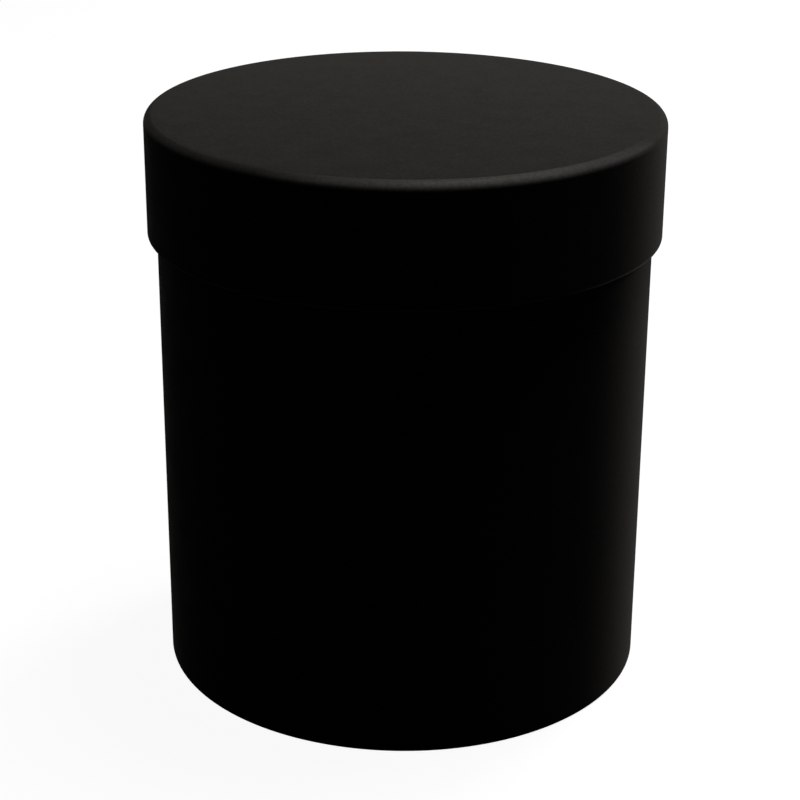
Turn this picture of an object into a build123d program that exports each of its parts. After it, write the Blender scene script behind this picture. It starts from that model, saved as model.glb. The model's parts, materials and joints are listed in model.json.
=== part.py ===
from build123d import *

import os
from math import degrees

# A round gift tube box: a board tube with a wide lift-off lid, both covered in matt black paper.
# All lengths are in millimetres. The origin is the middle of the foot, and +Z points up.
# The box stands on its foot with the lid closed. The lap seams of both halves face +Y, the back.

# Driving sizes of the box
base_diameter = 154.0
base_height = 177.5
lid_depth = 37.5
lid_clearance = 0.5

# Boards: two wound tubes and two pressed discs
base_tube_board = 2.0
base_disc_board = 2.0
lid_ring_board = 2.0
lid_disc_board = 2.8
disc_fit = 0.1

# Rounding of the lid's upper edge: its share of the disc's board, and the even flats along its arc
lid_edge_share = 0.96
edge_flats = 3

# Papers
cover_paper = 0.15
lining_paper = 0.15
paper_gap = 0.3

# Margins of the cover papers, each measured from the fold where it turns round a board
rim_hem = 15.0
mouth_hem = 12.0
foot_margin = 12.0
top_margin = 10.0

# How far the two paper discs that hide those margins stop short of the edge
foot_paper_inset = 3.0
top_paper_inset = 0.2

# Lap seam of each side paper
lap_width = 10.0

# Notches that let a turned margin lie flat: their number round the box, the length left whole
# at the fold, and the width of each notch at the free edge of the margin
notch_count = 36
notch_setback = 4.0
notch_width = 2.0
cut_overrun = 1.0

# Radii of the base, from the cover paper inwards
base_radius = base_diameter / 2
base_board_outer = base_radius - cover_paper
base_board_inner = base_board_outer - base_tube_board
base_lining_inner = base_board_inner - lining_paper

# Heights of the base, from the ground upwards
foot_fold_level = cover_paper
foot_board_level = foot_fold_level + cover_paper
base_floor = foot_board_level + base_disc_board
rim_board_level = base_height - cover_paper

# Radii of the lid, from the base outwards
lid_hem_inner = base_radius + lid_clearance
lid_lining_inner = lid_hem_inner + cover_paper
lid_board_inner = lid_lining_inner + lining_paper
lid_board_outer = lid_board_inner + lid_ring_board
lid_radius = lid_board_outer + cover_paper

# Heights of the lid, from the base's rim upwards and then down to the mouth
lid_disc_level = base_height + lining_paper
lid_board_top = lid_disc_level + lid_disc_board
lid_margin_top = lid_board_top + cover_paper
lid_top = lid_margin_top + cover_paper
lid_mouth = lid_top - lid_depth
mouth_board_level = lid_mouth + cover_paper

# The rounded edge lies between the lid's flat top and its straight side
lid_edge_radius = lid_edge_share * lid_disc_board
lid_flat_radius = lid_board_outer - lid_edge_radius
lid_side_top = lid_board_top - lid_edge_radius


def rounded_edge():
    """Points along the arc of the lid board's rounded edge, from the flat top to the side."""
    arc = CenterArc((lid_flat_radius, lid_side_top), lid_edge_radius, 90, -90, mode=Mode.PRIVATE)
    return [arc @ (step / edge_flats) for step in range(edge_flats + 1)]


def cover_section(*path):
    """Section of cover paper that lies on the left of a path along the boards."""
    with BuildSketch(Plane.XZ) as section:
        with BuildLine():
            Polyline(*path)
            offset(amount=cover_paper, kind=Kind.TANGENT, side=Side.LEFT)
        make_face()
    return section.sketch


def lap_ply(radius, bottom, top):
    """Second ply of a side paper's lap seam, outside its first ply and centred on the back."""
    lap_angle = degrees(lap_width / radius)
    with BuildPart() as ply:
        with BuildSketch(Plane.XZ.rotated((0, 0, 90 - lap_angle / 2))):
            with Locations((radius, bottom)):
                Rectangle(cover_paper, top - bottom, align=Align.MIN)
        revolve(axis=Axis.Z, revolution_arc=lap_angle)
    return ply.part


def margin_notches(fold_radius, margin, level):
    """Notches in a margin that is turned inwards and lies flat at the level given."""
    tip = fold_radius - notch_setback
    open_end = fold_radius - margin - cut_overrun
    reach = notch_width / 2 * (tip - open_end) / (margin - notch_setback)
    with BuildPart() as notches:
        with BuildSketch(Plane.XY.offset(level - cut_overrun)):
            with PolarLocations(0, notch_count):
                Polygon((tip, 0), (open_end, reach), (open_end, -reach), align=None)
        extrude(amount=2 * cut_overrun)
    return notches.part


def make_sleeve(inner, outer, bottom, top):
    """Plain tube between two radii and two levels."""
    with BuildPart() as sleeve:
        with BuildSketch(Plane.XY.offset(bottom)):
            Circle(outer)
            Circle(inner, mode=Mode.SUBTRACT)
        extrude(amount=top - bottom)
    return sleeve.part


def make_disc(radius, bottom, thickness):
    """Plain disc that lies at the level given."""
    with BuildPart() as disc:
        with BuildSketch(Plane.XY.offset(bottom)):
            Circle(radius)
        extrude(amount=thickness)
    return disc.part


def make_base_tube():
    """Wound board tube of the base."""
    return make_sleeve(base_board_inner, base_board_outer, foot_board_level, rim_board_level)


def make_base_disc():
    """Board disc glued inside the foot of the tube, flush with its end."""
    return make_disc(base_board_inner - disc_fit, foot_board_level, base_disc_board)


def make_base_lining():
    """Lining of the tube, from the floor to the rim."""
    return make_sleeve(base_lining_inner, base_board_inner, base_floor, rim_board_level)


def make_base_floor_paper():
    """Paper disc on the floor inside."""
    return make_disc(base_lining_inner - paper_gap, base_floor, lining_paper)


def make_base_wrap():
    """Cover paper of the base: in over the rim and the lining, down the side, and under the foot."""
    section = cover_section(
        (base_lining_inner, rim_board_level - rim_hem),
        (base_lining_inner, rim_board_level),
        (base_board_outer, rim_board_level),
        (base_board_outer, foot_board_level),
        (base_board_outer - foot_margin, foot_board_level),
    )
    notches = margin_notches(base_board_outer, foot_margin, foot_board_level)
    lap = lap_ply(base_radius, foot_fold_level, base_height)
    with BuildPart() as base_wrap:
        revolve(section, Axis.Z)
        add(notches, mode=Mode.SUBTRACT)
        add(lap)
    return base_wrap.part


def make_base_under_paper():
    """Paper disc under the foot, over the notched margin of the cover paper."""
    return make_disc(base_radius - foot_paper_inset, 0, foot_fold_level)


def make_lid_ring():
    """Wound board ring of the lid."""
    return make_sleeve(lid_board_inner, lid_board_outer, mouth_board_level, lid_disc_level)


def make_lid_disc():
    """Board disc on the end of the lid's ring, with its upper edge rounded over."""
    with BuildPart() as lid_disc:
        with BuildSketch(Plane.XZ):
            with BuildLine():
                top = (0, lid_board_top)
                bottom = (0, lid_disc_level)
                Polyline(top, *rounded_edge(), (lid_board_outer, lid_disc_level), bottom, close=True)
            make_face()
        revolve(axis=Axis.Z)
    return lid_disc.part


def make_lid_lining():
    """Lining of the lid's ring, from the mouth to the disc."""
    return make_sleeve(lid_lining_inner, lid_board_inner, mouth_board_level, lid_disc_level)


def make_lid_ceiling_paper():
    """Paper disc inside the lid's top. It lies on the base's rim when the lid is closed."""
    return make_disc(lid_lining_inner - paper_gap, base_height, lining_paper)


def make_lid_side_strip():
    """Cover paper of the lid's side: over the rounded edge onto the top, and in round the mouth."""
    section = cover_section(
        (lid_flat_radius - top_margin, lid_board_top),
        *rounded_edge(),
        (lid_board_outer, mouth_board_level),
        (lid_lining_inner, mouth_board_level),
        (lid_lining_inner, mouth_board_level + mouth_hem),
    )
    notches = margin_notches(lid_flat_radius, top_margin, lid_board_top)
    lap = lap_ply(lid_radius, lid_mouth, lid_side_top)
    with BuildPart() as lid_side_strip:
        revolve(section, Axis.Z)
        add(notches, mode=Mode.SUBTRACT)
        add(lap)
    return lid_side_strip.part


def make_lid_top_paper():
    """Cover paper of the lid's top, a disc over the notched margin of the side strip."""
    return make_disc(lid_flat_radius - top_paper_inset, lid_margin_top, cover_paper)


makers = {
    "base_tube": make_base_tube,
    "base_disc": make_base_disc,
    "base_lining": make_base_lining,
    "base_floor_paper": make_base_floor_paper,
    "base_wrap": make_base_wrap,
    "base_under_paper": make_base_under_paper,
    "lid_ring": make_lid_ring,
    "lid_disc": make_lid_disc,
    "lid_lining": make_lid_lining,
    "lid_ceiling_paper": make_lid_ceiling_paper,
    "lid_side_strip": make_lid_side_strip,
    "lid_top_paper": make_lid_top_paper,
}

os.makedirs("parts", exist_ok=True)
for name, make in makers.items():
    piece = make()
    piece.label = name
    export_step(piece, f"parts/{name}.step")
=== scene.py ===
"""Looks of a round gift tube box: grey board covered inside and out with matt black paper.

All lengths are in metres. The box stands on the floor at z = 0 with its lid on, and the lap seams
of its two side papers are at the back (+Y).
"""
import json
import logging
import math
from dataclasses import dataclass
from enum import Enum
from typing import ClassVar

import bmesh
import bpy
from mathutils import Matrix, Vector, noise


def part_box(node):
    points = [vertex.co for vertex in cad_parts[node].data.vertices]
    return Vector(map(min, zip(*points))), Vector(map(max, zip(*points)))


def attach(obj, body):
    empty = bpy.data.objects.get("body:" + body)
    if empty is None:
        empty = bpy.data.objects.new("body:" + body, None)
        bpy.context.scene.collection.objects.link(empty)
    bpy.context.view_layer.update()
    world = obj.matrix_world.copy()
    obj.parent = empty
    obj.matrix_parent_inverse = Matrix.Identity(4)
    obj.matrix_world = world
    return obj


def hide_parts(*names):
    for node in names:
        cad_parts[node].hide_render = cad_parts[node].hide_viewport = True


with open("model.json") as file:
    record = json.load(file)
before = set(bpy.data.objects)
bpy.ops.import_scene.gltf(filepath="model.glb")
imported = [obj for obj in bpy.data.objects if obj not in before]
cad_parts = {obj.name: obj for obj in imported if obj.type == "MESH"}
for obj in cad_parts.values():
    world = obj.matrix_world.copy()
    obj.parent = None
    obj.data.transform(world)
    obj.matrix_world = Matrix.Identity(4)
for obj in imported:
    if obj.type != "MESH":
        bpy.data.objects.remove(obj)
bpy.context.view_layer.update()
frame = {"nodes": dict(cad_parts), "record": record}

# A millimetre, and how near two points lie that are one
MM = 0.001
WELD = 0.001 * MM

# Turns about the box's axis, and how many columns of faces go round the box
FULL_TURN = 2 * math.pi
BACK = math.pi / 2
COLUMNS = 288

# Edges that are sharper than this aren't shaded round
SHARP_ANGLE = math.radians(40)

# The attribute that marks how pale the folds are: wear on most of them, a painted highlight on the lid's
# rounded edge and mouth.
# The middle and the end of a fold are measured from the corner that it rounds off, and its end lies one bend
# away, or a little more on the paper's other face.
FOLD = "fold"
FOLD_MIDDLE = math.sqrt(2) - 1
FOLD_END = 1.05

# The middle of a noise, and the ranges of it that a pattern uses. What lies outside such a range is
# held at its ends, so a narrow one gives the firmer patches.
NOISE_MIDDLE = 0.5
NARROW_NOISE = (0.38, 0.62)
MIDDLE_NOISE = (0.35, 0.65)
WIDE_NOISE = (0.3, 0.7)

# Places of the two colours among a Mix node's inputs, and of the mixed one among its outputs
MIX_COLOURS = (6, 7)
MIXED_COLOUR = 2

Socket = bpy.types.NodeSocket
Range = tuple[float, float]
Colour = tuple[float, float, float]
Point = tuple[float, float, float]
Line = list[bmesh.types.BMVert | bmesh.types.BMEdge]

log = logging.getLogger("gift_tube_box")


class Half(Enum):
    """The two bodies of the box."""

    BASE = "base"
    LID = "lid"


class Slot(Enum):
    """The material slots that a repaint can reach."""

    COVER = "cover_paper"
    LINING = "lining_paper"
    BOARD = "grey_board"


Finishes = dict[Slot, bpy.types.Material]


def grey(level: float) -> tuple[float, float, float, float]:
    """An even grey of the level given."""
    return (level, level, level, 1.0)


class ShaderBench:
    """Lays out the nodes of one material or world and joins them."""

    def __init__(self, owner: bpy.types.Material | bpy.types.World) -> None:
        """Clears the owner's node tree.

        Args:
            owner: the material or world whose nodes are laid out.
        """
        owner.use_nodes = True
        self.tree = owner.node_tree
        self.tree.nodes.clear()

    def add(self, kind: str, sockets: dict[str, object] | None = None, **settings: object) -> bpy.types.Node:
        """Adds one node.

        Args:
            kind: Blender's name of the node's type.
            sockets: values for the node's own inputs, by name.
            settings: values for the node's own settings.

        Returns:
            The new node.
        """
        node = self.tree.nodes.new(kind)
        for name, value in settings.items():
            setattr(node, name, value)
        for name, value in (sockets or {}).items():
            node.inputs[name].default_value = value
        return node

    def join(self, start: Socket, end: Socket) -> None:
        """Joins an output to an input."""
        self.tree.links.new(start, end)

    def math(self, operation: str, first: float | Socket, second: float | Socket = 0.0) -> Socket:
        """Works out one number from two.

        Args:
            operation: the sum, such as MULTIPLY.
            first: a number, or the output that gives it.
            second: a number, or the output that gives it.

        Returns:
            The output that holds the result.
        """
        node = self.add("ShaderNodeMath", operation=operation)
        for socket, value in zip(node.inputs, (first, second)):
            if isinstance(value, Socket):
                self.join(value, socket)
            else:
                socket.default_value = value
        return node.outputs["Value"]

    def speckle(self, place: Socket, size: float, detail: float) -> Socket:
        """Even noise with grains of about the size given.

        Args:
            place: the coordinates that the noise follows.
            size: the size of a grain.
            detail: how many finer layers the noise has.

        Returns:
            The output that holds the noise, about 0.5 in the middle.
        """
        node = self.add("ShaderNodeTexNoise", {"Scale": 1 / size, "Detail": detail})
        self.join(place, node.inputs["Vector"])
        return node.outputs["Fac"]

    def spread(self, value: Socket, old: Range, new: Range) -> Socket:
        """Maps one range of numbers to another, and holds what lies outside at its ends.

        Args:
            value: the output to map.
            old: its range, from start to end.
            new: what the start and the end become.

        Returns:
            The output that holds the mapped number.
        """
        ends = dict(zip(("From Min", "From Max", "To Min", "To Max"), (*old, *new)))
        node = self.add("ShaderNodeMapRange", ends, clamp=True)
        self.join(value, node.inputs["Value"])
        return node.outputs["Result"]

    def tint(self, share: Socket, first: Colour | Socket, second: Colour | Socket) -> Socket:
        """Mixes two colours.

        Args:
            share: the output that gives the second colour's share.
            first: a colour, or the output that gives it.
            second: a colour, or the output that gives it.

        Returns:
            The output that holds the mixed colour.
        """
        node = self.add("ShaderNodeMix", data_type="RGBA")
        self.join(share, node.inputs["Factor"])
        for index, colour in zip(MIX_COLOURS, (first, second)):
            if isinstance(colour, Socket):
                self.join(colour, node.inputs[index])
            else:
                node.inputs[index].default_value = (*colour, 1.0)
        return node.outputs[MIXED_COLOUR]

    def bump(self, height: Socket, depth: float, strength: float, under: Socket | None = None) -> Socket:
        """Raises the surface by a height between 0 and 1.

        Args:
            height: the output that gives the height.
            depth: how high a height of 1 stands.
            strength: how much of the bump shows.
            under: the normal that it is laid on, if it isn't the plain one.

        Returns:
            The output that holds the new normal.
        """
        node = self.add("ShaderNodeBump", {"Distance": depth, "Strength": strength})
        self.join(height, node.inputs["Height"])
        if under is not None:
            self.join(under, node.inputs["Normal"])
        return node.outputs["Normal"]

    def show(self, shader: Socket, kind: str = "ShaderNodeOutputMaterial") -> None:
        """Joins a shader to the owner's output node, which it adds."""
        self.join(shader, self.add(kind).inputs["Surface"])


@dataclass(frozen=True)
class PaperFinish:
    """Matt dyed paper: a fine felt grain, soft mottling, fibres, and paler folds, from wear and, on the lid's
    rounded edge and mouth, from a painted highlight.

    Attributes:
        name: name of the material.
        colour: colour of the dye.
        pale_colour: paler colour of a fibre and of a fold that shows wear, and of the highlight painted on
            the lid's rounded edge and mouth.
        roughness: how matt the paper is.
        specular: its gloss.
        sheen: how much the nap of its fibres catches light from the side.
        burnish: how much gloss a pale fold gets.
        grain: size of the finest grain.
        felt: size of the felt that the sheet was pressed on.
        fibre: size of the loops that the fibres make.
        mottle: size of the wide mottling.
        pleat: width of the gathers across a fold.
        pleat_radius: how far from the box's axis the gathers have that width.
        grain_depth: depth of the grain, the felt and the fibres together.
        grain_strength: how much of that relief shows.
        felt_share: share of the felt and of the fibres in it, where the grain counts whole.
        pleat_depth: depth of the gathers.
        pleat_strength: how much of them shows.
        dye_shares: shares of the grain, the felt and the mottling in the dye's unevenness.
        dye_swing: how far the dye is darker or paler than its colour.
        roughness_swing: how far the roughness goes up and down with the mottling.
        fibre_waves: how many times a fibre bends over the size of a loop.
        fibre_bend: how far it bends, as a multiple of that size.
        fibre_width: width of a fibre, in the noise that it is drawn from.
        fibre_share: how much a fibre shows.
        patches: paleness of a fold between the tufts of the felt, and on them.
        specks: how much of a fold's paleness shows between the grains, and on them.
        sheen_roughness: how wide the sheen spreads.
        sheen_tint: colour of the sheen.
        coat_roughness: how soft that gloss is.
        coat_ior: how strongly it mirrors.
    """

    name: str
    colour: Colour
    pale_colour: Colour
    roughness: float
    specular: float
    sheen: float
    burnish: float
    grain: float = 0.32 * MM
    felt: float = 1.1 * MM
    fibre: float = 1.6 * MM
    mottle: float = 9 * MM
    pleat: float = 2.4 * MM
    pleat_radius: float = 80 * MM
    grain_depth: float = 0.012 * MM
    grain_strength: float = 0.6
    felt_share: float = 0.5
    pleat_depth: float = 0.05 * MM
    pleat_strength: float = 0.5
    dye_shares: tuple[float, float, float] = (0.3, 0.4, 0.3)
    dye_swing: float = 0.2
    roughness_swing: float = 0.04
    fibre_waves: float = 0.6
    fibre_bend: float = 2.0
    fibre_width: float = 0.012
    fibre_share: float = 0.14
    patches: Range = (0.85, 1.12)
    specks: Range = (0.68, 0.92)
    sheen_roughness: float = 0.35
    sheen_tint: tuple[float, float, float, float] = (1.0, 0.94, 0.86, 1.0)
    coat_roughness: float = 0.48
    coat_ior: float = 2.2

    def make(self) -> bpy.types.Material:
        """Lays out the finish.

        Returns:
            The material.
        """
        material = bpy.data.materials.new(self.name)
        bench = ShaderBench(material)
        place = bench.add("ShaderNodeTexCoord").outputs["Object"]
        fold = bench.add("ShaderNodeAttribute", attribute_name=FOLD).outputs["Fac"]
        grain = bench.speckle(place, self.grain, detail=3.0)
        felt = bench.speckle(place, self.felt, detail=2.0)
        mottle = bench.speckle(place, self.mottle, detail=2.0)
        fibre = self._fibres(bench, place)
        # paleness of the folds: wear, and on the lid's rounded edge and mouth a painted highlight
        wear_and_painted_highlight = bench.math("MULTIPLY", fold, bench.spread(felt, NARROW_NOISE, self.patches))
        surface = bench.add("ShaderNodeBsdfPrincipled", {
            "Specular IOR Level": self.specular,
            "Sheen Weight": self.sheen,
            "Sheen Roughness": self.sheen_roughness,
            "Sheen Tint": self.sheen_tint,
            "Coat Roughness": self.coat_roughness,
            "Coat IOR": self.coat_ior,
        })
        bench.join(self._colour(bench, (grain, felt, mottle), fibre, wear_and_painted_highlight), surface.inputs["Base Color"])
        swing = (self.roughness - self.roughness_swing, self.roughness + self.roughness_swing)
        bench.join(bench.spread(mottle, MIDDLE_NOISE, swing), surface.inputs["Roughness"])
        if self.burnish:
            bench.join(bench.math("MULTIPLY", wear_and_painted_highlight, self.burnish), surface.inputs["Coat Weight"])
        soft = bench.math("MULTIPLY", bench.math("ADD", fibre, felt), self.felt_share)
        normal = bench.bump(bench.math("ADD", grain, soft), self.grain_depth, self.grain_strength)
        normal = bench.bump(self._pleats(bench, place, fold), self.pleat_depth, self.pleat_strength, normal)
        bench.join(normal, surface.inputs["Normal"])
        bench.show(surface.outputs["BSDF"])
        return material

    def _fibres(self, bench: ShaderBench, place: Socket) -> Socket:
        """Short pale fibres pressed into the face of the paper.

        Args:
            bench: where the nodes are laid out.
            place: the coordinates that they follow.

        Returns:
            The output that is 1 on a fibre and 0 beside it.
        """
        bend = bench.add("ShaderNodeTexNoise", {"Scale": self.fibre_waves / self.fibre, "Detail": 1.0})
        bench.join(place, bend.inputs["Vector"])
        wander = bench.add("ShaderNodeVectorMath", {"Scale": self.fibre_bend * self.fibre}, operation="SCALE")
        bench.join(bend.outputs["Color"], wander.inputs[0])
        moved = bench.add("ShaderNodeVectorMath", operation="ADD")
        bench.join(place, moved.inputs[0])
        bench.join(wander.outputs["Vector"], moved.inputs[1])
        lines = bench.speckle(moved.outputs["Vector"], self.fibre, detail=0.0)
        ridge = bench.math("ABSOLUTE", bench.math("SUBTRACT", lines, NOISE_MIDDLE))
        return bench.spread(ridge, (0.0, self.fibre_width), (1.0, 0.0))

    def _colour(self, bench: ShaderBench, noises: tuple[Socket, Socket, Socket],
                fibre: Socket, wear_and_painted_highlight: Socket) -> Socket:
        """Dye colour with its small unevenness, and paler on the folds, from wear and from a highlight
        painted on the lid's rounded edge and mouth.

        Args:
            bench: where the nodes are laid out.
            noises: the fine grain, the felt of the sheet and the wide mottling.
            fibre: the fibres.
            wear_and_painted_highlight: how much a fold is paler, from wear and from a painted highlight.

        Returns:
            The output that holds the colour.
        """
        deep = tuple((1 - self.dye_swing) * part for part in self.colour)
        pale = tuple((1 + self.dye_swing) * part for part in self.colour)
        grain, felt, mottle = (bench.math("MULTIPLY", *pair) for pair in zip(noises, self.dye_shares))
        uneven = bench.math("ADD", bench.math("ADD", grain, felt), mottle)
        dyed = bench.tint(bench.spread(uneven, NARROW_NOISE, (0.0, 1.0)), deep, pale)
        dyed = bench.tint(bench.math("MULTIPLY", fibre, self.fibre_share), dyed, self.pale_colour)
        specks = bench.spread(noises[0], MIDDLE_NOISE, self.specks)
        # folds tinted paler: wear, and the painted highlight on the lid's rounded edge and mouth
        return bench.tint(bench.math("MULTIPLY", wear_and_painted_highlight, specks), dyed, self.pale_colour)

    def _pleats(self, bench: ShaderBench, place: Socket, fold: Socket) -> Socket:
        """Fine gathers across a fold, where flat paper was drawn in round the curve.

        Args:
            bench: where the nodes are laid out.
            place: the coordinates that they follow.
            fold: the attribute that marks the folds.

        Returns:
            The output that holds their height.
        """
        flat = bench.add("ShaderNodeVectorMath", operation="MULTIPLY")
        flat.inputs[1].default_value = (1.0, 1.0, 0.0)
        bench.join(place, flat.inputs[0])
        round_the_box = bench.add("ShaderNodeVectorMath", operation="NORMALIZE")
        bench.join(flat.outputs["Vector"], round_the_box.inputs[0])
        gathers = bench.speckle(round_the_box.outputs["Vector"], self.pleat / self.pleat_radius, detail=1.0)
        return bench.math("MULTIPLY", gathers, fold)


@dataclass(frozen=True)
class BoardFinish:
    """Raw grey board made from mixed waste paper, with pale and dark flecks.

    Attributes:
        name: name of the material.
        colour: colour of the board.
        pale: how much paler its clouds are.
        dark: how dark its flecks are.
        cloud: size of the clouds.
        fleck: size of the flecks.
        fleck_edge: where a fleck starts and where it is full, in the noise that it is drawn from.
        fleck_share: how much a full fleck shows.
        roughness: roughness between the flecks, and on them.
        depth: depth of the board's relief.
        strength: how much of the relief shows.
        specular: gloss of the board.
    """

    name: str
    colour: Colour
    pale: float = 1.25
    dark: float = 0.45
    cloud: float = 6 * MM
    fleck: float = 0.9 * MM
    fleck_edge: Range = (0.62, 0.72)
    fleck_share: float = 0.7
    roughness: Range = (0.82, 0.95)
    depth: float = 0.06 * MM
    strength: float = 0.5
    specular: float = 0.2

    def make(self) -> bpy.types.Material:
        """Lays out the finish.

        Returns:
            The material.
        """
        material = bpy.data.materials.new(self.name)
        bench = ShaderBench(material)
        place = bench.add("ShaderNodeTexCoord").outputs["Object"]
        fleck = bench.speckle(place, self.fleck, detail=4.0)
        cloud = bench.speckle(place, self.cloud, detail=3.0)
        pale = tuple(self.pale * part for part in self.colour)
        dark = tuple(self.dark * part for part in self.colour)
        colour = bench.tint(bench.spread(cloud, MIDDLE_NOISE, (0.0, 1.0)), self.colour, pale)
        colour = bench.tint(bench.spread(fleck, self.fleck_edge, (0.0, self.fleck_share)), colour, dark)
        surface = bench.add("ShaderNodeBsdfPrincipled", {"Specular IOR Level": self.specular})
        bench.join(colour, surface.inputs["Base Color"])
        bench.join(bench.spread(fleck, WIDE_NOISE, self.roughness), surface.inputs["Roughness"])
        bench.join(bench.bump(fleck, self.depth, self.strength), surface.inputs["Normal"])
        bench.show(surface.outputs["BSDF"])
        return material


def make_finishes() -> Finishes:
    """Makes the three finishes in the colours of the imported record.

    Returns:
        Each slot's material.
    """
    colours = {Slot(row["slot"]): tuple(row["base_color"][:3]) for row in frame["record"]["materials"]}
    # the cover's pale colour serves fibres, wear, and the highlight painted on the lid's rounded edge and
    # mouth
    cover = PaperFinish("matt_black_cover_paper", colours[Slot.COVER], pale_colour=(0.14, 0.132, 0.122),
                        roughness=0.9, specular=0.004, sheen=0.032, burnish=0.065)
    lining = PaperFinish("black_lining_paper", colours[Slot.LINING], pale_colour=(0.07, 0.068, 0.066),
                         roughness=0.85, specular=0.03, sheen=0.1, burnish=0.0,
                         grain=0.25 * MM, fibre=1.2 * MM)
    board = BoardFinish("raw_grey_board", colours[Slot.BOARD])
    return {Slot.COVER: cover.make(), Slot.LINING: lining.make(), Slot.BOARD: board.make()}


@dataclass(frozen=True)
class FoldWearAndHighlight:
    """Paleness of a fold, which is strongest at one side of the box: wear on most folds, a painted highlight
    on the lid's rounded edge and mouth.

    Attributes:
        most: paleness at its strongest place.
        least: share of it that is left on the far side.
        side: where it is strongest, as an angle from the front towards the right.
        span: how far from there it has faded out.
        fullness: how wide the strongest stretch is; at 1 it is a single point.
        reach: where it ends across the fold, measured as FOLD_END is.
    """

    most: float = 0.5
    least: float = 0.15
    side: float = 0.0
    span: float = math.pi
    fullness: float = 1.4
    reach: float = FOLD_END

    def at(self, vert: bmesh.types.BMVert, away: float) -> float:
        """Works out how much one point is paler.

        Args:
            vert: the point.
            away: its distance from the corner that the fold rounds off, in bends.

        Returns:
            The paleness, from 0 to 1.
        """
        # side_share sets the paleness round the box; on the lid it puts the painted highlight where the
        # lamps' highlights fall
        turned = abs(math.remainder(math.atan2(vert.co.x, -vert.co.y) - self.side, FULL_TURN))
        side_share = min(1.0, max(self.least, self.fullness * (1 - turned / self.span)))
        return self.most * side_share * self.depth(vert, away)

    def depth(self, vert: bmesh.types.BMVert, away: float) -> float:
        """Share of the paleness across the fold: all of it in the middle, and none past its reach."""
        return max(0.0, (self.reach - away) / (self.reach - FOLD_MIDDLE))


@dataclass(frozen=True)
class ShoulderHighlight(FoldWearAndHighlight):
    """A highlight painted on a wide rounded edge, as a paler colour and a gloss: even across its slope, and
    gone where it meets the wall.

    Attributes:
        start: share of a plain fold's paleness at which this painted highlight is whole.
        flat_share: share of the painted highlight that is left where the edge meets the flat top.
        slope: how steep the edge is where the painted highlight is whole, from 0, level, to 1, upright.
        wall: how level it is where the painted highlight starts to fade towards the wall, from 0, upright, to
            1.
    """

    start: float = 0.24
    flat_share: float = 0.36
    slope: float = 0.5
    wall: float = 0.65

    def depth(self, vert: bmesh.types.BMVert, away: float) -> float:
        """Share of the painted highlight across the rounded edge.

        Args:
            vert: the point.
            away: its distance from the corner that the edge rounds off, in bends.

        Returns:
            The share, from 0 to 1.
        """
        begun = min(1.0, super().depth(vert, away) / self.start)
        level = abs(vert.normal.z)
        sloping = min(1.0, self.flat_share + (1 - self.flat_share) * (1 - level) / self.slope)
        return begun * sloping * min(1.0, level / self.wall)


@dataclass
class Corner:
    """A corner of a turned paper's line: its place on the shown face, its fold, and how pale the fold is
    there: wear on most corners, a painted highlight on the lid's rounded edge and mouth.
    """

    radius: float
    height: float
    bend: float = 0.0
    steps: int = 4
    wear_and_highlight: FoldWearAndHighlight = FoldWearAndHighlight()


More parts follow.
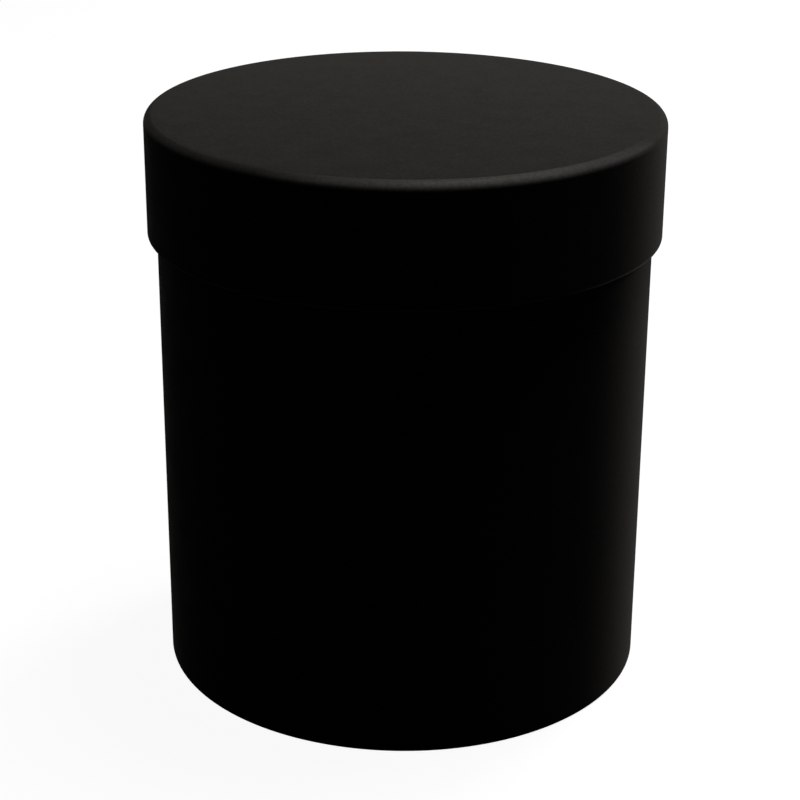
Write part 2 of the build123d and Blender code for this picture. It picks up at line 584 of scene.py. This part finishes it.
@dataclass
class TurnedPaper:
    """A paper that goes round the box and is folded over boards, shown on the left of its line.

    Attributes:
        line: corners of the paper's shown face, in the plane of X and Z.
        thickness: thickness of the paper.
        lap: how far its end lies over its start; without a lap it is a plain sleeve.
        ramp: length over which the end climbs onto the start.
        pressed: share of the climb that is left where a margin is pressed flat.
        guard: width of the narrow strip of faces beside each bend.
        wander: how far a cut edge strays.
        waves: how often it strays, going round the box.
        pattern_step: how different the straying is from one level to another.
    """

    line: list[Corner]
    thickness: float
    lap: float = 0.0
    ramp: float = 1.6 * MM
    pressed: float = 0.1
    guard: float = 0.5 * MM
    wander: float = 0.15 * MM
    waves: float = 9.0
    pattern_step: float = 50.0

    def model(self) -> bmesh.types.BMesh:
        """Folds the paper along its line, turns it round the box and gives it its thickness.

        Returns:
            The modelled mesh.
        """
        mesh = bmesh.new()
        self._draw_line(mesh)
        lifted = self._turn(mesh)
        self._face_left(mesh)
        self._wander_edges(mesh)
        self._lift_lap(mesh, lifted)
        bmesh.ops.solidify(mesh, geom=list(mesh.faces), thickness=self.thickness)
        self._mark_folds(mesh)
        return mesh

    def _draw_line(self, mesh: bmesh.types.BMesh) -> None:
        """Draws the line in the plane of X and Z, with its corners rounded.

        Args:
            mesh: the empty mesh to draw in.
        """
        corners = [mesh.verts.new((corner.radius, 0, corner.height)) for corner in self.line]
        stretches = [mesh.edges.new(pair) for pair in zip(corners, corners[1:])]
        for stretch, first, second in zip(stretches, self.line, self.line[1:]):
            self._guard(stretch, first, second)
        for vert, corner in zip(corners, self.line):
            if corner.bend:
                bmesh.ops.bevel(mesh, geom=[vert], offset=corner.bend, offset_type="OFFSET",
                                segments=corner.steps, profile=0.5, affect="VERTICES", material=-1)

    def _guard(self, stretch: bmesh.types.BMEdge, first: Corner, second: Corner) -> None:
        """Splits a straight stretch just past each bend, so that only the bend is shaded round.

        Args:
            stretch: the straight stretch.
            first: the corner that it starts at.
            second: the corner that it ends at.
        """
        start, end = stretch.verts
        for vert, bend in ((end, second.bend), (start, first.bend)):
            if bend:
                bmesh.utils.edge_split(stretch, vert, (bend + self.guard) / stretch.calc_length())

    def _turn(self, mesh: bmesh.types.BMesh) -> list[bmesh.types.BMVert]:
        """Turns the line round the box, on past its start where the paper has a lap.

        Args:
            mesh: the mesh that holds the line.

        Returns:
            The vertices of the lap's upper ply.
        """
        line = [*mesh.verts, *mesh.edges]
        if not self.lap:
            self._spin(mesh, line, FULL_TURN, COLUMNS)
            bmesh.ops.remove_doubles(mesh, verts=mesh.verts, dist=WELD)
            return []
        girth = max(corner.radius for corner in self.line)
        lap = self.lap / girth
        ramp = self.ramp / girth
        bmesh.ops.rotate(mesh, verts=mesh.verts, matrix=Matrix.Rotation(BACK - lap / 2, 3, "Z"))
        line = self._spin(mesh, line, FULL_TURN - ramp, COLUMNS)
        under = set(mesh.verts)
        line = self._spin(mesh, line, ramp, 1)
        self._spin(mesh, line, lap, round(COLUMNS * lap / FULL_TURN))
        return [vert for vert in mesh.verts if vert not in under]

    @staticmethod
    def _spin(mesh: bmesh.types.BMesh, line: Line, turn: float, columns: int) -> Line:
        """Turns a line about the box's axis.

        Args:
            mesh: the mesh that holds the line.
            line: its vertices and edges.
            turn: how far it is turned, as an angle.
            columns: how many columns of faces that makes.

        Returns:
            The line at the end of the turn.
        """
        spun = bmesh.ops.spin(mesh, geom=line, cent=(0, 0, 0), axis=(0, 0, 1), angle=turn,
                              steps=columns, use_merge=turn == FULL_TURN)
        return spun["geom_last"]

    def _face_left(self, mesh: bmesh.types.BMesh) -> None:
        """Turns every face so that the shown side is on the left of the line.

        Args:
            mesh: the turned sheet.
        """
        bmesh.ops.recalc_face_normals(mesh, faces=mesh.faces)
        widest = max(mesh.faces, key=lambda face: face.calc_area())
        middle = widest.calc_center_median()
        outward = Vector((middle.x, middle.y, 0)).normalized()
        first, second = max(zip(self.line, self.line[1:]), key=lambda pair: self._reach(*pair))
        left = outward * (first.height - second.height) + Vector((0, 0, second.radius - first.radius))
        if widest.normal.dot(left) < 0:
            bmesh.ops.reverse_faces(mesh, faces=mesh.faces)

    @staticmethod
    def _reach(first: Corner, second: Corner) -> float:
        """Distance between two corners."""
        return math.hypot(second.radius - first.radius, second.height - first.height)

    def _wander_edges(self, mesh: bmesh.types.BMesh) -> None:
        """Lets the two cut edges wander a little, as a hand-trimmed margin does.

        Args:
            mesh: the turned sheet.
        """
        for end, inner in ((self.line[0], self.line[1]), (self.line[-1], self.line[-2])):
            reach = self._reach(end, inner)
            along = (end.radius - inner.radius) / reach
            rise = (end.height - inner.height) / reach
            level = Vector((0, 0, end.height * self.pattern_step))
            for vert in mesh.verts:
                radius = math.hypot(vert.co.x, vert.co.y)
                if abs(radius - end.radius) + abs(vert.co.z - end.height) < WELD:
                    outward = Vector((vert.co.x, vert.co.y, 0)) / radius
                    shift = self.wander * noise.noise(outward * self.waves + level)
                    vert.co += shift * (along * outward + rise * Vector((0, 0, 1)))

    def _lift_lap(self, mesh: bmesh.types.BMesh, lifted: list[bmesh.types.BMVert]) -> None:
        """Lifts the lap's upper ply over the start of the paper, less where it is pressed flat.

        Args:
            mesh: the turned sheet.
            lifted: the vertices of the upper ply.
        """
        mesh.normal_update()
        for vert in lifted:
            standing = 1 - vert.normal.z ** 2
            vert.co += vert.normal * self.thickness * (self.pressed + (1 - self.pressed) * standing)

    def _mark_folds(self, mesh: bmesh.types.BMesh) -> None:
        """Marks how pale each point is: wear on most folds, a painted highlight on the lid's rounded edge and
        mouth.

        Args:
            mesh: the modelled mesh.
        """
        fold = mesh.verts.layers.float.new(FOLD)
        mesh.normal_update()
        for vert in mesh.verts:
            radius = math.hypot(vert.co.x, vert.co.y)
            for corner in self.line:
                if corner.bend:
                    away = math.hypot(radius - corner.radius, vert.co.z - corner.height) / corner.bend
                    vert[fold] = max(vert[fold], corner.wear_and_highlight.at(vert, away))


@dataclass
class PaperDisc:
    """A cut disc of paper that lies flat.

    Attributes:
        radius: radius of the disc.
        bottom: level that it lies at.
        thickness: thickness of the paper.
        skive: width over which its upper face slopes down to the edge.
        skive_share: share of the thickness that the slope takes off at the edge.
        upward: how much a face looks up, from 0 to 1, that is part of the upper face.
    """

    radius: float
    bottom: float
    thickness: float
    skive: float = 0.0
    skive_share: float = 0.9
    upward: ClassVar[float] = 0.5

    def model(self) -> bmesh.types.BMesh:
        """Cuts the disc, gives it its thickness and thins its edge where it is rubbed down.

        Returns:
            The modelled mesh.
        """
        mesh = bmesh.new()
        bmesh.ops.create_circle(mesh, cap_ends=True, segments=COLUMNS, radius=self.radius)
        raised = bmesh.ops.extrude_face_region(mesh, geom=list(mesh.faces))
        top = [part for part in raised["geom"] if isinstance(part, bmesh.types.BMVert)]
        bmesh.ops.translate(mesh, verts=top, vec=(0, 0, self.thickness))
        bmesh.ops.translate(mesh, verts=mesh.verts, vec=(0, 0, self.bottom))
        bmesh.ops.recalc_face_normals(mesh, faces=mesh.faces)
        if self.skive:
            self._thin_edge(mesh)
        mesh.verts.layers.float.new(FOLD)
        return mesh

    def _thin_edge(self, mesh: bmesh.types.BMesh) -> None:
        """Slopes the upper face down to the edge.

        Args:
            mesh: the disc with its thickness.
        """
        shown = [face for face in mesh.faces if face.normal.z > self.upward]
        bmesh.ops.inset_region(mesh, faces=shown, thickness=self.skive, depth=0, use_even_offset=True)
        middle = self.bottom + self.thickness / 2
        within = self.radius - self.skive / 2
        edge = [vert for vert in mesh.verts
                if vert.co.z > middle and math.hypot(vert.co.x, vert.co.y) > within]
        bmesh.ops.translate(mesh, verts=edge, vec=(0, 0, -self.skive_share * self.thickness))


@dataclass
class Piece:
    """One finished piece: where it rides, what it stands for and what it is made of."""

    name: str
    half: Half
    slot: Slot
    node: str

    def finish(self, mesh: bmesh.types.BMesh, material: bpy.types.Material) -> None:
        """Turns the modelled mesh into the piece.

        Args:
            mesh: the modelled mesh, which is used up.
            material: its finish.
        """
        data = bpy.data.meshes.new(self.name)
        mesh.to_mesh(data)
        mesh.free()
        data.shade_smooth()
        data.set_sharp_from_angle(angle=SHARP_ANGLE)
        data.materials.append(material)
        piece = bpy.data.objects.new(self.name, data)
        bpy.context.scene.collection.objects.link(piece)
        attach(piece, self.half.value)
        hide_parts(self.node)
        log.info("%s: %d faces, stands for %s", self.name, len(data.polygons), self.node)


@dataclass
class BoxHalf:
    """What both halves of the box have: finished boards, plain linings and flat discs of paper.

    Attributes:
        half: body that the half is.
        finishes: finishes of the box.
        paper: thickness of every paper.
        lap: how far the side paper's end lies over its start.
        fold: how widely a paper bends round a board's edge.
    """

    half: ClassVar[Half]
    finishes: Finishes
    paper: float = 0.15 * MM
    lap: float = 10 * MM
    fold: float = 0.45 * MM

    def _dress_board(self, node: str) -> None:
        """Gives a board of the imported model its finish.

        Args:
            node: the board's name.
        """
        material = self.finishes[Slot.BOARD]
        board = frame["nodes"][node]
        board.data.materials.clear()
        board.data.materials.append(material)
        log.info("%s: finished as %s", node, material.name)

    def _add(self, name: str, slot: Slot, node: str, mesh: bmesh.types.BMesh) -> None:
        """Turns a modelled mesh into a piece of this half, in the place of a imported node."""
        Piece(name, self.half, slot, node).finish(mesh, self.finishes[slot])

    def _add_disc(self, name: str, slot: Slot, node: str, skive: float = 0.0) -> None:
        """Makes a flat disc of paper in the place of a packed one, with its edge thinned if need be."""
        low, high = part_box(node)
        self._add(name, slot, node, PaperDisc(high.x, low.z, high.z - low.z, skive).model())

    def _add_lining(self, name: str, node: str) -> None:
        """Makes the lining of a board tube, shown on its inner face.

        Args:
            name: the piece's name.
            node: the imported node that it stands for.
        """
        low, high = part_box(node)
        inner = high.x - self.paper
        line = [Corner(inner, low.z), Corner(inner, high.z)]
        self._add(name, Slot.LINING, node, TurnedPaper(line, self.paper, wander=0.0).model())

    def _hem_radius(self, lining: str) -> float:
        """Radius of the shown face of a hem, which lies inside the lining given."""
        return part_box(lining)[1].x - 2 * self.paper


@dataclass
class BaseHalf(BoxHalf):
    """The tube with its foot: two boards, their cover papers and their linings.

    Attributes:
        hem: length of the cover paper that is turned in at the rim.
        margin: length of the cover paper that is turned in under the foot.
    """

    half: ClassVar[Half] = Half.BASE
    hem: float = 15 * MM
    margin: float = 12 * MM

    def build(self) -> None:
        """Dresses the boards and makes the papers."""
        self._dress_board("base_tube")
        self._dress_board("base_disc")
        self._add_cover()
        self._add_disc("base_foot_sheet", Slot.COVER, "base_under_paper")
        self._add_lining("base_lining_sleeve", "base_lining")
        self._add_disc("base_floor_sheet", Slot.LINING, "base_floor_paper")

    def _add_cover(self) -> None:
        """Makes the side's cover paper: in over the rim, down the side and in under the foot."""
        low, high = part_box("base_wrap")
        inner = self._hem_radius("base_lining")
        line = [
            Corner(inner, high.z - self.hem),
            Corner(inner, high.z, self.fold),
            Corner(high.x, high.z, self.fold),
            Corner(high.x, low.z, self.fold),
            Corner(high.x - self.margin, low.z),
        ]
        self._add("base_cover", Slot.COVER, "base_wrap", TurnedPaper(line, self.paper, self.lap).model())


@dataclass
class LidHalf(BoxHalf):
    """The lid: two boards, their cover papers and their linings.

    Attributes:
        hem: length of the side's cover paper that is turned in at the mouth.
        margin: length of it that lies on the top.
        skive: width over which the edge of the top's cover paper is thinned.
        edge_share: rounding of the disc board's edge, as a share of the board's thickness.
        edge_steps: how many faces go round that rounding.
        edge_highlight: highlight painted on that rounding, as a paler colour and a gloss, most at the front
            and a little to the right, where the top lamp's highlight falls.
        mouth_highlight: highlight painted on the mouth's fold, as a paler colour and a gloss, most at the
            right, where the right lamp's highlight falls.
    """

    half: ClassVar[Half] = Half.LID
    hem: float = 12 * MM
    margin: float = 10 * MM
    skive: float = 1.4 * MM
    edge_share: float = 0.96
    edge_steps: int = 14
    # painted highlight on the rounded top edge, where the top lamp's highlight falls
    edge_highlight: FoldWearAndHighlight = ShoulderHighlight(most=1.0, least=0.03, side=math.radians(17), span=math.radians(51))
    # painted highlight along the mouth's fold, most at the right
    mouth_highlight: FoldWearAndHighlight = FoldWearAndHighlight(most=1.0, least=0.05, side=math.radians(70), span=math.radians(36), reach=2.0)

    def build(self) -> None:
        """Dresses the boards and makes the papers."""
        self._dress_board("lid_ring")
        self._dress_board("lid_disc")
        self._add_cover()
        self._add_disc("lid_top_sheet", Slot.COVER, "lid_top_paper", self.skive)
        self._add_lining("lid_lining_sleeve", "lid_lining")
        self._add_disc("lid_ceiling_sheet", Slot.LINING, "lid_ceiling_paper")

    def _add_cover(self) -> None:
        """Makes the side's cover paper: over the rounded edge, down the side and in round the mouth."""
        low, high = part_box("lid_side_strip")
        board_low, board_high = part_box("lid_disc")
        inner = self._hem_radius("lid_lining")
        bend = self.edge_share * (board_high.z - board_low.z) + self.paper
        line = [
            Corner(high.x - bend - self.margin, high.z),
            Corner(high.x, high.z, bend, self.edge_steps, self.edge_highlight),
            Corner(high.x, low.z, self.fold, wear_and_highlight=self.mouth_highlight),
            Corner(inner, low.z, self.fold),
            Corner(inner, low.z + self.hem),
        ]
        self._add("lid_cover", Slot.COVER, "lid_side_strip", TurnedPaper(line, self.paper, self.lap).model())


@dataclass(frozen=True)
class Lamp:
    """A soft lamp of the studio."""

    name: str
    place: Point
    aim: Point
    width: float
    height: float
    watts: float

    def hang(self) -> None:
        """Puts the lamp in its place and turns it to its aim."""
        light = bpy.data.lights.new(self.name, "AREA")
        light.shape = "RECTANGLE"
        light.size = self.width
        light.size_y = self.height
        light.energy = self.watts
        lamp = bpy.data.objects.new(self.name, light)
        bpy.context.scene.collection.objects.link(lamp)
        lamp.location = self.place
        look = Vector(self.aim) - Vector(self.place)
        lamp.rotation_euler = look.to_track_quat("-Z", "Y").to_euler()
        lamp.visible_camera = False


@dataclass
class Studio:
    """The plain white ground and the soft lamps round the box.

    Attributes:
        floor_size: length of the floor's side.
        floor_drop: how far the floor lies under the box's foot.
        white: how bright the ground is where it is seen.
        shaded: grey of the floor under its glow, which the box's shadow darkens.
        unseen: grey of the floor for the light that it throws back on the box.
        lamps: lamps round the box.
    """

    floor_size: float = 12.0
    floor_drop: float = 0.02 * MM
    white: float = 0.94
    shaded: float = 0.12
    unseen: float = 0.03
    lamps: tuple[Lamp, ...] = (
        Lamp("top_lamp", place=(0.28, 0.18, 1.4), aim=(0.0, 0.0, 0.18), width=0.5, height=0.5, watts=9.5),
        Lamp("right_lamp", place=(0.85, 0.95, 0.45), aim=(0.0, 0.0, 0.12), width=0.4, height=0.3, watts=12.0),
    )

    def build(self) -> None:
        """Lays the floor, sets the surroundings and hangs the lamps."""
        self._lay_floor()
        self._set_surroundings()
        for lamp in self.lamps:
            lamp.hang()

    def _lay_floor(self) -> None:
        """Lays a floor that shows white and keeps the box's shadow, and lights the box little."""
        mesh = bmesh.new()
        bmesh.ops.create_grid(mesh, x_segments=1, y_segments=1, size=self.floor_size / 2)
        bmesh.ops.translate(mesh, verts=mesh.verts, vec=(0, 0, -self.floor_drop))
        data = bpy.data.meshes.new("floor")
        mesh.to_mesh(data)
        mesh.free()
        data.materials.append(self._ground())
        floor = bpy.data.objects.new("floor", data)
        bpy.context.scene.collection.objects.link(floor)

    def _ground(self) -> bpy.types.Material:
        """Lays out the floor's finish.

        Returns:
            The material.
        """
        material = bpy.data.materials.new("white_ground")
        bench = ShaderBench(material)
        shade = bench.add("ShaderNodeBsdfDiffuse", {"Color": grey(self.shaded)})
        glow = bench.add("ShaderNodeEmission", {"Strength": self.white})
        white = bench.add("ShaderNodeAddShader")
        bench.join(shade.outputs["BSDF"], white.inputs[0])
        bench.join(glow.outputs["Emission"], white.inputs[1])
        dark = bench.add("ShaderNodeBsdfDiffuse", {"Color": grey(self.unseen)})
        mix = bench.add("ShaderNodeMixShader")
        bench.join(self._seen_directly(bench), mix.inputs["Fac"])
        bench.join(dark.outputs["BSDF"], mix.inputs[1])
        bench.join(white.outputs["Shader"], mix.inputs[2])
        bench.show(mix.outputs["Shader"])
        return material

    def _set_surroundings(self) -> None:
        """Sets what lies past the floor: white where it is seen, dark where it would light the box."""
        world = bpy.data.worlds.new("surroundings")
        bpy.context.scene.world = world
        bench = ShaderBench(world)
        background = bench.add("ShaderNodeBackground", {"Color": grey(1.0)})
        strength = bench.math("MULTIPLY", self._seen_directly(bench), self.white)
        bench.join(strength, background.inputs["Strength"])
        bench.show(background.outputs["Background"], "ShaderNodeOutputWorld")

    @staticmethod
    def _seen_directly(bench: ShaderBench) -> Socket:
        """The output that is 1 for rays that see the ground itself or its mirror image.

        Args:
            bench: where the nodes are laid out.

        Returns:
            The output.
        """
        path = bench.add("ShaderNodeLightPath")
        seen = bench.math("MAXIMUM", path.outputs["Is Camera Ray"], path.outputs["Is Glossy Ray"])
        return bench.math("MAXIMUM", seen, path.outputs["Is Transmission Ray"])


@dataclass
class PhotoCamera:
    """The camera that took the photograph, as its outline of the box gives it.

    Attributes:
        distance: how far in front of the box's axis it stands.
        height: how high above the floor it stands.
        look_down: how far it looks down.
        look_left: how far it looks to the left of the axis.
        tilt: how far it is tilted about its line of sight.
        lens: focal length, in millimetres on its sensor.
        sensor: width of its sensor in millimetres.
    """

    distance: float = 0.62912
    height: float = 0.34194
    look_down: float = math.radians(22.2727)
    look_left: float = math.radians(0.1048)
    tilt: float = math.radians(0.3896)
    lens: float = 94.694
    sensor: float = 36.0

    def place(self) -> None:
        """Puts the camera in its place and makes it the scene's."""
        data = bpy.data.cameras.new("photo_camera")
        data.lens = self.lens
        data.sensor_width = self.sensor
        camera = bpy.data.objects.new("photo_camera", data)
        bpy.context.scene.collection.objects.link(camera)
        camera.location = (0, -self.distance, self.height)
        upright = Matrix.Rotation(math.pi / 2 - self.look_down, 4, "X")
        turned = Matrix.Rotation(self.look_left, 4, "Z") @ upright
        camera.rotation_euler = (turned @ Matrix.Rotation(self.tilt, 4, "Z")).to_euler()
        bpy.context.scene.camera = camera


def main() -> None:
    """Builds the box, its studio and its camera."""
    logging.basicConfig(level=logging.INFO, format="%(message)s")
    finishes = make_finishes()
    BaseHalf(finishes).build()
    LidHalf(finishes).build()
    Studio().build()
    PhotoCamera().place()
    bpy.context.scene.view_settings.view_transform = "Standard"


if __name__ == "__main__":
    main()
